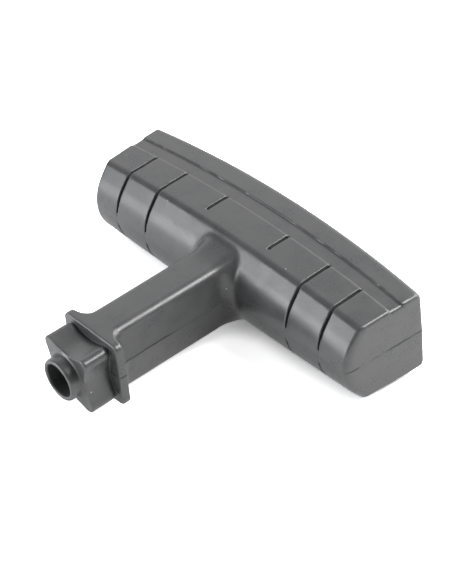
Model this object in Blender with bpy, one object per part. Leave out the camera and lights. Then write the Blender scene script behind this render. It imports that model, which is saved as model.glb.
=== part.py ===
"""Pull handle of a recoil starter, one moulding in black rubber.

The handle is a T. The cross bar is the grip, and fingers hook over it on both
sides of the stem. The starter rope comes in through the round nose, runs down
the stem and ends in a knot, which sits in a pocket in the back of the grip.

X runs along the grip, Y runs along the rope from the nose to the back of the
grip, and Z is up. The handle lies on the flat of its grip, with the origin under
the middle of its box. The mould parts at half the thickness. The lower half
mirrors the upper one, but only the top has a channel behind its pad.
"""

from math import atan2, cos, hypot, pi, radians, sin, sqrt, tan

import bmesh
import bpy
from mathutils import Vector

# Driving sizes, in millimetres. A size that is called half is measured from the
# rope's line or from the parting plane.
GRIP_WIDTH = 105.0
GRIP_DEPTH = 28.7
GRIP_THICKNESS = 27.4
REAR_ARCH = 2.8
END_THINNING = 1.7
END_LEAN = 1.5
END_ROUND = 1.2
END_FRONT_DRAW = 1.0

FRONT_BULGE_RADIUS = 15.2
FRONT_BULGE_ANGLE = 39.0
FRONT_EDGE_RADIUS = 2.4
REAR_EDGE_RADIUS = 1.9
REAR_DRAFT = 0.25

PAD_END = 16.9
CHANNEL_WIDTH = 4.5
CHANNEL_DEPTH = 0.7
STEP_DRAFT = 0.2
PAD_FALL = 0.3

SLOT_WIDTH = 1.0
SLOT_DEPTH = 1.3
LONG_SLOT_PLACES = (28.5, 40.8)
SHORT_SLOT_PLACE = 12.25
SHORT_SLOT_LENGTH = 7.3

STEM_LENGTH = 37.7
STEM_TOP_WIDTH = 11.2
STEM_PARTING_WIDTH = 13.7
STEM_EDGE_RADIUS = 1.7
ROOT_SIDE_RADIUS = 5.8
ROOT_TOP_RADIUS = 2.1
ROOT_ANGLE = 78.0

BORE_MOUTH_DIAMETER = 9.4
BORE_THROAT_DIAMETER = 7.0
BORE_LIP_ROUND = 0.5

BOSS_LENGTH = 3.3
BOSS_WALL = 1.25
BOSS_TAPER = 0.4
BOSS_RIM_ROUND = 0.6
BOSS_LEDGE = 0.3

STAR_LENGTH = 8.3
STAR_EDGE_ROUND = 0.5
STAR_LOBE_RISE = 1.45
STAR_LOBE_RADIUS = 1.9
STAR_SIDE_RADIUS = 30.0

FLANGE_THICKNESS = 2.3
FLANGE_SIDE_LEDGE = 2.3
FLANGE_TOP_LEDGE = 1.35
FLANGE_CORNER_RADIUS = 2.2
FLANGE_EDGE_ROUND = 0.5
FLANGE_COVE = 3.6

POCKET_WIDTH = 24.0
POCKET_HEIGHT = 15.0
POCKET_DEPTH = 18.0
POCKET_CORNER_RADIUS = 5.0
POCKET_DRAFT = 0.8
POCKET_RIM_ROUND = 1.2

# How finely curves are divided. The outlines along the rope have four quarters,
# and a quarter has as many steps in each of them, so that any two can be joined.
ARC_STEPS = 7
EDGE_STEPS = 4
GRIP_STATIONS = 28
FLAT_STEPS = 3
CORNER_STEPS = 6

# How far a joined or cutting shape runs past the face that it meets, how deep the
# stem's root is sunk in the grip, and where along a step of the grip's outline a
# slot's facets meet.
OVERRUN = 1.5
SINK = 0.35
SLOT_FACET_SHARE = 0.4

# Places that follow from the sizes.
MM = 0.001
HALF_WIDTH = GRIP_WIDTH / 2
HALF_THICKNESS = GRIP_THICKNESS / 2
BOSS_RIM_HALF = BORE_MOUTH_DIAMETER / 2 + BOSS_WALL
BOSS_ROOT_HALF = BOSS_RIM_HALF + BOSS_TAPER
STAR_WAIST_HALF = BOSS_ROOT_HALF + BOSS_LEDGE + STAR_EDGE_ROUND
STAR_HALF = STAR_WAIST_HALF + STAR_LOBE_RISE
FLANGE_HALF = STAR_HALF + FLANGE_SIDE_LEDGE
STEM_HALF_HEIGHT = STAR_HALF + FLANGE_TOP_LEDGE
NOSE_Y = -(GRIP_DEPTH + STEM_LENGTH + FLANGE_THICKNESS + STAR_LENGTH + BOSS_LENGTH) / 2
STAR_FRONT_Y = NOSE_Y + BOSS_LENGTH
FLANGE_FRONT_Y = STAR_FRONT_Y + STAR_LENGTH
FLANGE_BACK_Y = FLANGE_FRONT_Y + FLANGE_THICKNESS
GRIP_FRONT_Y = FLANGE_BACK_Y + STEM_LENGTH
GRIP_REAR_Y = GRIP_FRONT_Y + GRIP_DEPTH


def clear_scene():
    """Remove what a new Blender file starts with."""
    for item in list(bpy.data.objects):
        bpy.data.objects.remove(item, do_unlink=True)


def arc(centre, radius, start, end, steps):
    """Points along an arc, in degrees, both ends included."""
    points = []
    for index in range(steps + 1):
        angle = radians(start + (end - start) * index / steps)
        points.append((centre[0] + radius * cos(angle), centre[1] + radius * sin(angle)))
    return points


def rounded_corner(before, corner, after, radius, steps):
    """The corner of an outline as an arc that is tangent to both of its sides."""
    in_x, in_y = corner[0] - before[0], corner[1] - before[1]
    out_x, out_y = after[0] - corner[0], after[1] - corner[1]
    in_length, out_length = hypot(in_x, in_y), hypot(out_x, out_y)
    in_x, in_y = in_x / in_length, in_y / in_length
    out_x, out_y = out_x / out_length, out_y / out_length
    turn = atan2(in_x * out_y - in_y * out_x, in_x * out_x + in_y * out_y)
    side = 1 if turn > 0 else -1
    setback = radius * abs(tan(turn / 2))
    start = (corner[0] - in_x * setback, corner[1] - in_y * setback)
    centre = (start[0] - side * in_y * radius, start[1] + side * in_x * radius)
    first = atan2(start[1] - centre[1], start[0] - centre[0])
    points = []
    for index in range(steps + 1):
        angle = first + turn * index / steps
        points.append((centre[0] + radius * cos(angle), centre[1] + radius * sin(angle)))
    return points


def closed_outline(upper, lower):
    """Close an upper half outline with the mirror image of a lower half's outline."""
    return upper + [(u, -v) for u, v in reversed(lower) if v > 1e-6]


def new_object(name, bm):
    """Turn a bmesh that is drawn in millimetres into an object in metres."""
    bmesh.ops.triangulate(bm, faces=bm.faces[:])
    bmesh.ops.recalc_face_normals(bm, faces=bm.faces[:])
    bmesh.ops.translate(bm, verts=bm.verts[:], vec=(0, 0, HALF_THICKNESS))
    bmesh.ops.scale(bm, verts=bm.verts[:], vec=(MM, MM, MM))
    mesh = bpy.data.meshes.new(name)
    bm.to_mesh(mesh)
    bm.free()
    item = bpy.data.objects.new(name, mesh)
    bpy.context.collection.objects.link(item)
    return item


def loft(name, rings):
    """Skin a row of outlines with equally many points, and close both ends with fans."""
    bm = bmesh.new()
    loops = [[bm.verts.new(point) for point in ring] for ring in rings]
    for near, far in zip(loops, loops[1:]):
        for index in range(len(near)):
            following = (index + 1) % len(near)
            bm.faces.new((near[index], near[following], far[following], far[index]))
    for loop in (loops[0], loops[-1]):
        middle = sum((vert.co for vert in loop), Vector()) / len(loop)
        hub = bm.verts.new(middle)
        for index in range(len(loop)):
            bm.faces.new((hub, loop[index], loop[(index + 1) % len(loop)]))
    return new_object(name, bm)


def front_corner():
    """Where the front of the grip, drawn on straight, would meet the top of its pad."""
    angle = radians(FRONT_BULGE_ANGLE)
    end_depth = FRONT_BULGE_RADIUS * (1 - cos(angle))
    end_height = FRONT_BULGE_RADIUS * sin(angle)
    top = HALF_THICKNESS - PAD_FALL
    return end_depth + (top - end_height) * tan(angle), top


def pad_outline():
    """The grip's section from its foremost point to the end of the pad, as (depth, height)."""
    centre = (FRONT_BULGE_RADIUS, 0.0)
    bulge = arc(centre, FRONT_BULGE_RADIUS, 180, 180 - FRONT_BULGE_ANGLE, ARC_STEPS)
    corner = front_corner()
    pad_end = (PAD_END, HALF_THICKNESS)
    edge = rounded_corner(bulge[-1], corner, pad_end, FRONT_EDGE_RADIUS, EDGE_STEPS)
    return bulge + edge + [pad_end]


def rear_outline(start):
    """The grip's section from a place on its top, round the rear edge, to its rearmost point."""
    rear_top = (GRIP_DEPTH - REAR_DRAFT, HALF_THICKNESS)
    rear_middle = (GRIP_DEPTH, 0.0)
    return rounded_corner(start, rear_top, rear_middle, REAR_EDGE_RADIUS, EDGE_STEPS) + [rear_middle]


def upper_outline():
    """The upper half of the grip's section, with the channel behind the pad."""
    floor = HALF_THICKNESS - CHANNEL_DEPTH
    channel_end = PAD_END + CHANNEL_WIDTH
    strip_start = (channel_end, HALF_THICKNESS)
    channel = [(PAD_END + STEP_DRAFT, floor), (channel_end - STEP_DRAFT, floor)]
    return pad_outline() + channel + [strip_start] + rear_outline(strip_start)


def lower_outline():
    """The lower half of the grip's section, drawn upwards. It has no channel."""
    pad = pad_outline()
    return pad + rear_outline(pad[-1])


def slenderness(x):
    """How much the grip's section shrinks at a distance from the middle, in depth and height."""
    share = (x / HALF_WIDTH) ** 2
    return 1 - REAR_ARCH / GRIP_DEPTH * share, 1 - END_THINNING / HALF_THICKNESS * share


def grip_ring(outline, station, inset):
    """One section of the grip, at a station from -1 at the left end to 1 at the right."""
    depth_scale, height_scale = slenderness(station * HALF_WIDTH)
    front_inset = inset * (1 + END_FRONT_DRAW / END_ROUND)
    inset_depth = 1 - (front_inset + inset) / GRIP_DEPTH
    inset_height = 1 - inset / HALF_THICKNESS
    ring = []
    for depth, height in outline:
        inner_depth = front_inset + depth * inset_depth
        y = GRIP_FRONT_Y + inner_depth * depth_scale
        z = height * inset_height * height_scale
        lean = END_LEAN * (1 - inner_depth / GRIP_DEPTH)
        ring.append((station * (HALF_WIDTH - lean), y, z))
    return ring


def make_grip():
    """The cross bar: a section that thins and draws in towards two rounded ends."""
    outline = closed_outline(upper_outline(), lower_outline())
    ends = []
    for short, inset in edge_round(END_ROUND, EDGE_STEPS):
        ends.append((1 - short / HALF_WIDTH, inset))
    straight = ends[0][0]
    rings = [grip_ring(outline, -station, inset) for station, inset in reversed(ends)]
    for index in range(1, GRIP_STATIONS):
        rings.append(grip_ring(outline, straight * (2 * index / GRIP_STATIONS - 1), 0.0))
    rings += [grip_ring(outline, station, inset) for station, inset in ends]
    return loft("starter_handle", rings)


def full_outline(quarter):
    """Mirror a quarter outline, from the top to the right, into a whole one."""
    right = quarter + [(x, -z) for x, z in reversed(quarter[:-1])]
    return right + [(-x, z) for x, z in reversed(right[1:-1])]


def between(start, end, steps):
    """Points on a straight line, without its end."""
    points = []
    for index in range(steps):
        share = index / steps
        points.append((start[0] + (end[0] - start[0]) * share, start[1] + (end[1] - start[1]) * share))
    return points


def stem_outline(top_half, parting_half, height_half, radius):
    """A stem section as (x, z): flat top, rounded edge, side that leans out to the parting."""
    top = (0.0, height_half)
    corner = (top_half, height_half)
    side = (parting_half, 0.0)
    edge = rounded_corner(top, corner, side, radius, CORNER_STEPS)
    quarter = between(top, edge[0], FLAT_STEPS) + edge[:-1]
    quarter += between(edge[-1], side, FLAT_STEPS) + [side]
    return full_outline(quarter)


def star_outline(shrink):
    """A nose section as (x, z): four round lobes with hollow sides between them."""
    waist = STAR_WAIST_HALF - shrink
    lobe = STAR_LOBE_RADIUS - shrink
    offset = STAR_HALF - STAR_LOBE_RADIUS
    side = STAR_SIDE_RADIUS + shrink
    rise = waist + side - offset
    distance = hypot(offset, rise)
    along = (side ** 2 - lobe ** 2 + distance ** 2) / (2 * distance)
    half_side = atan2(offset, rise) - atan2(sqrt(side ** 2 - along ** 2), along)
    hollow = []
    for index in range(FLAT_STEPS + 1):
        angle = half_side * index / FLAT_STEPS
        hollow.append((side * sin(angle), waist + side * (1 - cos(angle))))
    meet_x, meet_z = hollow[-1]
    start = atan2(meet_z - offset, meet_x - offset)
    round_part = []
    for index in range(1, CORNER_STEPS):
        angle = start + (pi / 2 - 2 * start) * index / CORNER_STEPS
        round_part.append((offset + lobe * cos(angle), offset + lobe * sin(angle)))
    return full_outline(hollow + round_part + [(z, x) for x, z in reversed(hollow)])


def circle_outline(radius, phase=0.0):
    """A round section as (x, z), turned on by a share of one of its sides."""
    sides = 4 * (2 * FLAT_STEPS + CORNER_STEPS)
    outline = []
    for index in range(sides):
        angle = 2 * pi * (index + phase) / sides
        outline.append((radius * sin(angle), radius * cos(angle)))
    return outline


def pocket_outline(grow):
    """The knot pocket's section as (x, z): an oblong with round corners."""
    half_x = POCKET_WIDTH / 2 + grow
    half_z = POCKET_HEIGHT / 2 + grow
    radius = POCKET_CORNER_RADIUS + grow
    edge = rounded_corner((0.0, half_z), (half_x, half_z), (half_x, 0.0), radius, CORNER_STEPS)
    quarter = between((0.0, half_z), edge[0], FLAT_STEPS) + edge[:-1]
    quarter += between(edge[-1], (half_x, 0.0), FLAT_STEPS) + [(half_x, 0.0)]
    return full_outline(quarter)


def front_depth(height):
    """How far the bulging front of the grip falls back at a height from the parting."""
    limit = FRONT_BULGE_RADIUS * sin(radians(FRONT_BULGE_ANGLE))
    height = abs(height)
    if height <= limit:
        return FRONT_BULGE_RADIUS - sqrt(FRONT_BULGE_RADIUS ** 2 - height ** 2)
    start = FRONT_BULGE_RADIUS * (1 - cos(radians(FRONT_BULGE_ANGLE)))
    return start + (height - limit) * tan(radians(FRONT_BULGE_ANGLE))


def flat_ring(outline, y):
    """An outline set square across the rope at a place along it."""
    return [(x, y, z) for x, z in outline]


def edge_round(radius, steps):
    """The (inset, depth) pairs of a rounded edge, from its face to its side."""
    pairs = []
    for index in range(steps + 1):
        angle = pi / 2 * index / steps
        pairs.append((radius * (1 - sin(angle)), radius * (1 - cos(angle))))
    return pairs


def nose_rings():
    """The round boss at the very front, then the four-lobed block behind it."""
    rings = []
    for inset, depth in edge_round(BOSS_RIM_ROUND, EDGE_STEPS):
        rings.append(flat_ring(circle_outline(BOSS_RIM_HALF - inset), NOSE_Y + depth))
    rings.append(flat_ring(circle_outline(BOSS_ROOT_HALF), STAR_FRONT_Y))
    for inset, depth in edge_round(STAR_EDGE_ROUND, EDGE_STEPS):
        rings.append(flat_ring(star_outline(inset), STAR_FRONT_Y + depth))
    rings.append(flat_ring(star_outline(0.0), FLANGE_FRONT_Y))
    return rings


def flange_rings():
    """The square flange, and the coves that bring its sides down to the stem."""
    rings = []
    for inset, depth in edge_round(FLANGE_EDGE_ROUND, EDGE_STEPS):
        half = FLANGE_HALF - inset
        outline = stem_outline(half, half, STEM_HALF_HEIGHT - inset, FLANGE_CORNER_RADIUS)
        rings.append(flat_ring(outline, FLANGE_FRONT_Y + depth))
    for index in range(ARC_STEPS + 1):
        angle = pi / 2 * index / ARC_STEPS
        share = 1 - sin(angle)
        top = STEM_TOP_WIDTH / 2 * (1 - share) + FLANGE_HALF * share
        parting = STEM_PARTING_WIDTH / 2 * (1 - share) + FLANGE_HALF * share
        radius = STEM_EDGE_RADIUS * (1 - share) + FLANGE_CORNER_RADIUS * share
        outline = stem_outline(top, parting, STEM_HALF_HEIGHT, radius)
        rings.append(flat_ring(outline, FLANGE_BACK_Y + FLANGE_COVE * (1 - cos(angle))))
    return rings


def root_rings():
    """The stem's root, which flares out to the grip and follows its bulging front."""
    rings = []
    start_y = GRIP_FRONT_Y + SINK - ROOT_SIDE_RADIUS * sin(radians(ROOT_ANGLE))
    for index in range(ARC_STEPS + 1):
        angle = radians(ROOT_ANGLE) * index / ARC_STEPS
        wide = ROOT_SIDE_RADIUS * (1 - cos(angle))
        height = STEM_HALF_HEIGHT + ROOT_TOP_RADIUS * (1 - cos(angle))
        outline = stem_outline(STEM_TOP_WIDTH / 2 + wide, STEM_PARTING_WIDTH / 2 + wide, height,
                               STEM_EDGE_RADIUS + wide / 2)
        y = start_y + ROOT_SIDE_RADIUS * sin(angle)
        follow = (index / ARC_STEPS) ** 2
        rings.append([(x, y + follow * front_depth(z), z) for x, z in outline])
    rings.append(flat_ring(outline, y + front_depth(height) + OVERRUN))
    return rings


def make_stem():
    """Nose, flange and stem in one row of sections along the rope."""
    return loft("stem_and_nose", nose_rings() + flange_rings() + root_rings())


def make_rope_way():
    """What the rope passes: a bore with a rounded mouth, and the pocket for its knot."""
    mouth = BORE_MOUTH_DIAMETER / 2
    floor = GRIP_REAR_Y - POCKET_DEPTH
    flare = mouth + BORE_LIP_ROUND
    rings = [flat_ring(circle_outline(flare + OVERRUN, 0.5), NOSE_Y - OVERRUN)]
    for inset, depth in edge_round(BORE_LIP_ROUND, EDGE_STEPS)[1:]:
        rings.append(flat_ring(circle_outline(mouth + inset, 0.5), NOSE_Y + depth))
    rings.append(flat_ring(circle_outline(BORE_THROAT_DIAMETER / 2, 0.5), floor))
    rings.append(flat_ring(pocket_outline(-POCKET_DRAFT), floor))
    for inset, depth in reversed(edge_round(POCKET_RIM_ROUND, EDGE_STEPS)[1:]):
        rings.append(flat_ring(pocket_outline(inset), GRIP_REAR_Y - depth))
    rings.append(flat_ring(pocket_outline(POCKET_RIM_ROUND + OVERRUN), GRIP_REAR_Y + OVERRUN))
    return loft("rope_way", rings)


def offset_outline(points, distance):
    """Move an open outline to its left by a distance, keeping its point count."""
    moved = []
    for index, point in enumerate(points):
        before = points[max(index - 1, 0)]
        after = points[min(index + 1, len(points) - 1)]
        along_x, along_y = after[0] - before[0], after[1] - before[1]
        length = hypot(along_x, along_y)
        moved.append((point[0] - along_y / length * distance,
                      point[1] + along_x / length * distance))
    return moved


def slot_path(place, start_depth):
    """The grip's outer line at a slot, from its start to the foremost part, as (y, z).

    Each of its points lies partway along a step of the outline, so that the slot's
    facets stay clear of the grip's own corners.
    """
    depth_scale, height_scale = slenderness(place)
    outline = pad_outline()
    points = [(start_depth, HALF_THICKNESS)]
    for near, far in reversed(list(zip(outline, outline[1:]))):
        depth = near[0] + (far[0] - near[0]) * SLOT_FACET_SHARE
        height = near[1] + (far[1] - near[1]) * SLOT_FACET_SHARE
        points.append((depth, height))
    return [(GRIP_FRONT_Y + depth * depth_scale, height * height_scale) for depth, height in points]


def add_slot(bm, place, path):
    """Add one thin curved plate that cuts a slot of even depth along a path."""
    edges = []
    for line in (offset_outline(path, -OVERRUN), offset_outline(path, SLOT_DEPTH)):
        for x in (place - SLOT_WIDTH / 2, place + SLOT_WIDTH / 2):
            edges.append([bm.verts.new((x, y, z)) for y, z in line])
    outer_left, outer_right, inner_left, inner_right = edges
    around = (outer_left, outer_right, inner_right, inner_left)
    for near, far in zip(around, around[1:] + around[:1]):
        for index in range(len(path) - 1):
            bm.faces.new((near[index], far[index], far[index + 1], near[index + 1]))
    for index in (0, -1):
        bm.faces.new([edge[index] for edge in around])


def make_slots():
    """Six slots: four run round the front of the grip, two stay on top of the pad."""
    bm = bmesh.new()
    end = PAD_END + STEP_DRAFT / 2
    for place in LONG_SLOT_PLACES:
        upper = slot_path(place, end)
        path = upper + [(y, -z) for y, z in reversed(upper)]
        add_slot(bm, place, path)
        add_slot(bm, -place, path)
    depth_scale, height_scale = slenderness(SHORT_SLOT_PLACE)
    fall = PAD_FALL * SHORT_SLOT_LENGTH / (PAD_END - front_corner()[0])
    start = (GRIP_FRONT_Y + end * depth_scale, HALF_THICKNESS * height_scale)
    finish = (GRIP_FRONT_Y + (end - SHORT_SLOT_LENGTH) * depth_scale,
              (HALF_THICKNESS - fall) * height_scale)
    for side in (-1, 1):
        add_slot(bm, side * SHORT_SLOT_PLACE, [start, finish])
        add_slot(bm, side * SHORT_SLOT_PLACE, [(finish[0], -finish[1]), (start[0], -start[1])])
    return new_object("grip_slots", bm)


def rubber():
    """Black rubber with a soft, slightly worn sheen."""
    material = bpy.data.materials.new("black_rubber")
    material.use_nodes = True
    shader = material.node_tree.nodes["Principled BSDF"]
    shader.inputs["Base Color"].default_value = (0.035, 0.035, 0.038, 1.0)
    shader.inputs["Metallic"].default_value = 0.0
    shader.inputs["Roughness"].default_value = 0.55
    return material


def combine(body, tool, operation):
    """Join a shape to the body or cut it out of it, and keep the shape as a guide."""
    modifier = body.modifiers.new(tool.name, "BOOLEAN")
    modifier.operation = operation
    modifier.solver = "EXACT"
    modifier.object = tool
    body.modifiers.new(tool.name + "_flat_faces", "TRIANGULATE")
    tool.hide_render = True
    tool.display_type = "WIRE"


def main():
    """Build the handle: join the stem to the grip, then cut the rope's way and the slots."""
    clear_scene()
    handle = make_grip()
    combine(handle, make_stem(), "UNION")
    combine(handle, make_rope_way(), "DIFFERENCE")
    combine(handle, make_slots(), "DIFFERENCE")
    handle.data.materials.append(rubber())
    handle.data.shade_smooth()
    handle.data.set_sharp_from_angle(angle=radians(30))


main()
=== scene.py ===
# %% [markdown]
# # Pull handle of a recoil starter
#
# The handle is one moulding in black rubber, a T. Fingers hook over the cross grip
# on both sides of the stem. The starter rope comes in through the round boss at the
# nose, runs down the stem, and its knot sits in a pocket in the back of the grip.
#
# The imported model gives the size, the place and the solid shape. This script models
# the same handle again as a maker of visual models would, with the soft edges of a
# rubber moulding, gives it its finish, and sets up the light, the floor and the
# camera of a small product photograph.

from math import cos, pi, radians, sin, sqrt, tan

import bmesh
import bpy
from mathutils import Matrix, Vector


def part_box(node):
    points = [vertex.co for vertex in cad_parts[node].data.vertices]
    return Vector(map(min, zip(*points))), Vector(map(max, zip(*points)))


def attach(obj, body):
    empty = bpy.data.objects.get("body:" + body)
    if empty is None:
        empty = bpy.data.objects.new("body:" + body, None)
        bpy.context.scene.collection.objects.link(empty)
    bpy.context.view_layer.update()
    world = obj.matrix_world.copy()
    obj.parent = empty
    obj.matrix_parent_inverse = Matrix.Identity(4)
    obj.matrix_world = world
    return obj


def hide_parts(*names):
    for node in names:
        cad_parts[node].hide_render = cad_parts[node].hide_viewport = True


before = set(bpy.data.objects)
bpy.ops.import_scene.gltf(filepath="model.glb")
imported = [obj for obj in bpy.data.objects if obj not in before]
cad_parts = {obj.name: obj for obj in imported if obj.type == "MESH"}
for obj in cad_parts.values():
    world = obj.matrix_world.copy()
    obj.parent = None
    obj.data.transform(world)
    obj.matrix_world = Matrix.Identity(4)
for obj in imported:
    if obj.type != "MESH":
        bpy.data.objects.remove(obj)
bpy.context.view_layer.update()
low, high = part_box("starter_handle")
print(len(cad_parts), "packed solid, from", tuple(round(v, 4) for v in low),
      "to", tuple(round(v, 4) for v in high))

# %% [markdown]
# ## Camera
#
# The photograph looks down on the nose from the right with a long lens, which keeps
# the long grip's edges almost parallel. The place was solved from the photograph's
# own edges, with the solid's corners as the known points.

# %% Place the camera
camera_data = bpy.data.cameras.new("product_camera")
camera_data.sensor_width = 36.0
camera_data.lens = 141.636
camera = bpy.data.objects.new("product_camera", camera_data)
bpy.context.scene.collection.objects.link(camera)
camera.location = (0.37754733, -0.26030162, 0.39697467)
camera.rotation_euler = (radians(50.12), radians(5.184), radians(49.557))
bpy.context.scene.camera = camera
print("camera", round(camera.location.length, 3), "m from the handle")

# %% [markdown]
# ## Sizes
#
# The moulding is drawn in millimetres, because bevels and remeshing work best on
# numbers near one, and is shrunk to metres when it is done. While it is drawn, its
# parting plane lies at z = 0, so that the lower half mirrors the upper one. The
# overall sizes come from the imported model. The others are the moulding's own.

# %% Overall sizes
MM = 0.001
HALF_WIDTH = (high[0] - low[0]) / 2 / MM
HALF_THICKNESS = (high[2] - low[2]) / 2 / MM
NOSE_Y = low[1] / MM
GRIP_FRONT_Y = 11.45
GRIP_REAR_Y = -NOSE_Y
GRIP_DEPTH = GRIP_REAR_Y - GRIP_FRONT_Y
print("grip", round(2 * HALF_WIDTH, 1), "wide,", round(GRIP_DEPTH, 1), "deep,",
      round(2 * HALF_THICKNESS, 1), "thick, in millimetres")

# %% [markdown]
# ## Working by selection
#
# In Blender's window a modeller clicks on faces and then runs a tool. A script picks
# them by their place instead: `pick` selects every vertex whose position passes a
# test, and `pick_edges` every edge, and the tool then acts on that selection.
# Everything is deselected first, because loading the model leaves it selected.

# %% Helpers for edit mode
def take(piece):
    """Make one piece the active one and the only selected one."""
    bpy.ops.object.select_all(action="DESELECT")
    piece.select_set(True)
    bpy.context.view_layer.objects.active = piece


def start_editing(piece):
    """Open one piece in edit mode, to pick vertices in it."""
    take(piece)
    bpy.ops.object.mode_set(mode="EDIT")
    bpy.ops.mesh.select_mode(type="VERT")


def stop_editing():
    """Go back to object mode, with nothing selected."""
    bpy.ops.object.mode_set(mode="OBJECT")
    bpy.ops.object.select_all(action="DESELECT")


def pick(test):
    """Select the vertices of the edited mesh whose position passes a test."""
    mesh = bpy.context.edit_object.data
    bm = bmesh.from_edit_mesh(mesh)
    for face in bm.faces:
        face.select_set(False)
    for vert in bm.verts:
        vert.select_set(test(vert.co))
    bm.select_flush(True)
    bmesh.update_edit_mesh(mesh)


def pick_edges(test):
    """Select the edges of the edited mesh whose two ends pass a test."""
    mesh = bpy.context.edit_object.data
    bpy.ops.mesh.select_mode(type="EDGE")
    bm = bmesh.from_edit_mesh(mesh)
    for edge in bm.edges:
        edge.select_set(False)
    for edge in bm.edges:
        if test(edge.verts[0].co, edge.verts[1].co):
            edge.select_set(True)
    bmesh.update_edit_mesh(mesh)


print("made the helpers that open a piece and pick in it")

# %% Helpers that cut, extrude and add
def cut_across(axis, places):
    """Cut the edited mesh with planes square to an axis, without parting it."""
    for place in places:
        bpy.ops.mesh.select_all(action="SELECT")
        point = [0, 0, 0]
        normal = [0, 0, 0]
        point[axis] = place
        normal[axis] = 1
        bpy.ops.mesh.bisect(plane_co=point, plane_no=normal)


def extrude_and_size(move, size=(1, 1, 1), centre=(0, 0, 0)):
    """Extrude the selected faces, then size their new end about a point."""
    bpy.ops.mesh.extrude_region_move(TRANSFORM_OT_translate={"value": move})
    bpy.ops.transform.resize(value=size, center_override=centre)


def new_block(name, corner, far_corner):
    """Add a cube that spans two corners, with its place in its mesh."""
    bpy.ops.object.select_all(action="DESELECT")
    corner, far_corner = Vector(corner), Vector(far_corner)
    bpy.ops.mesh.primitive_cube_add(size=1, location=(corner + far_corner) / 2)
    block = bpy.context.object
    block.name = name
    block.scale = far_corner - corner
    bpy.ops.object.transform_apply(location=True, rotation=True, scale=True)
    return block


def report(piece):
    """Print a solid's volume, and how many of its edges aren't closed."""
    bm = bmesh.new()
    bm.from_mesh(piece.data)
    open_edges = sum(1 for edge in bm.edges if len(edge.link_faces) != 2)
    print(piece.name, round(bm.calc_volume(signed=True) / 1000, 2), "cubic cm,",
          open_edges, "open edges,", len(bm.faces), "faces")
    bm.free()


print("made the helpers that cut, extrude, add and report")

# %% [markdown]
# ## The grip's blank
#
# The grip starts as a long box from its front crease to its back, cut into narrow
# stations along its length. Its front is pushed out in small steps that follow a
# shallow arc, each a little less tall than the last. A loft would also do, but
# pushing a face out and sizing it is how such a swell is made by hand, and the rows
# stay even. The blank can be made smaller all round, because the slots need a core.

# %% Push out the bulging front
STATIONS = 40
BULGE_STEPS = 20
END_ROUND = 1.2
BULGE_RADIUS = 15.2
BULGE_ANGLE = radians(39.0)
PAD_FALL = 0.3
PAD_END = 16.9
REAR_DRAFT = 0.25


def bulging_block(name, inset, rear_y):
    """A box with a bulging front, smaller all round than the grip by an inset."""
    radius = BULGE_RADIUS - inset
    front_y = GRIP_FRONT_Y + inset
    front_top = HALF_THICKNESS - PAD_FALL - inset
    arc_depth = radius * (1 - cos(BULGE_ANGLE))
    arc_height = radius * sin(BULGE_ANGLE)
    depth = arc_depth + (front_top - arc_height) * tan(BULGE_ANGLE)
    height = front_top
    crease_y = front_y + depth
    half_width = HALF_WIDTH - END_ROUND
    block = new_block(name, (-half_width, crease_y, inset - HALF_THICKNESS),
                      (half_width, rear_y, HALF_THICKNESS - inset))
    start_editing(block)
    cut_across(2, [0])
    pick(lambda co: co.y > rear_y - 0.01 and abs(co.z) > 1)
    bpy.ops.transform.translate(value=(0, -REAR_DRAFT, 0))
    cut_across(0, [half_width * (2 * i / STATIONS - 1) for i in range(1, STATIONS)])
    cut_across(1, [GRIP_FRONT_Y + PAD_END])
    pick(lambda co: co.y < crease_y + 0.01)
    bpy.ops.transform.resize(value=(1, 1, front_top / (HALF_THICKNESS - inset)),
                             center_override=(0, 0, 0))
    for step in range(BULGE_STEPS + 1):
        angle = BULGE_ANGLE * (1 - step / (BULGE_STEPS + 1))
        next_depth = radius * (1 - cos(angle))
        next_height = radius * sin(angle)
        extrude_and_size((0, next_depth - depth, 0), (1, 1, next_height / height))
        depth, height = next_depth, next_height
    stop_editing()
    return block, crease_y


grip, CREASE_Y = bulging_block("grip", 0.0, GRIP_REAR_Y)
print("grip blank:", len(grip.data.vertices), "vertices, crease at y", round(CREASE_Y, 2))

# %% [markdown]
# ## Rounded edges
#
# Every edge of a rubber moulding is rounded, or it would tear as it leaves the mould.
# The crease above the bulge has a generous radius and the back edges a smaller one.
# Both are bevelled: a bevel of a corner that turns by an angle needs the radius
# times the tangent of half that angle as its width.

# %% Round the crease and the back edges
CREASE_RADIUS = 2.4
REAR_RADIUS = 1.9


def is_crease(a, b):
    """An edge along the crease between the bulge and a pad."""
    return a.z * b.z > 0 and all(abs(co.y - CREASE_Y) < 0.01 for co in (a, b))


def is_rear(a, b):
    """A long edge at the back of the grip."""
    return a.z * b.z > 0 and all(co.y > GRIP_REAR_Y - REAR_DRAFT - 0.01 for co in (a, b))


start_editing(grip)
pick_edges(is_crease)
bpy.ops.mesh.bevel(offset=CREASE_RADIUS * tan((pi / 2 - BULGE_ANGLE) / 2), segments=6)
pick_edges(is_rear)
bpy.ops.mesh.bevel(offset=REAR_RADIUS, segments=6)
stop_editing()
print("rounded grip:", len(grip.data.vertices), "vertices")

# %% [markdown]
# ## Channel and round ends
#
# Behind the pad a shallow channel runs along the top of the grip. It is pressed in
# by moving one band of the top down. The ends are rounded by insetting each end face
# a few times, each time a little further out. That follows the whole outline, also
# round the channel's steps, where a bevel of so many short edges would cross itself.
# The ends round off more at the front, so each ring is also drawn back there.

# %% Press the channel in
CHANNEL_WIDTH = 4.5
CHANNEL_DEPTH = 0.45
STEP_DRAFT = 0.04

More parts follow.
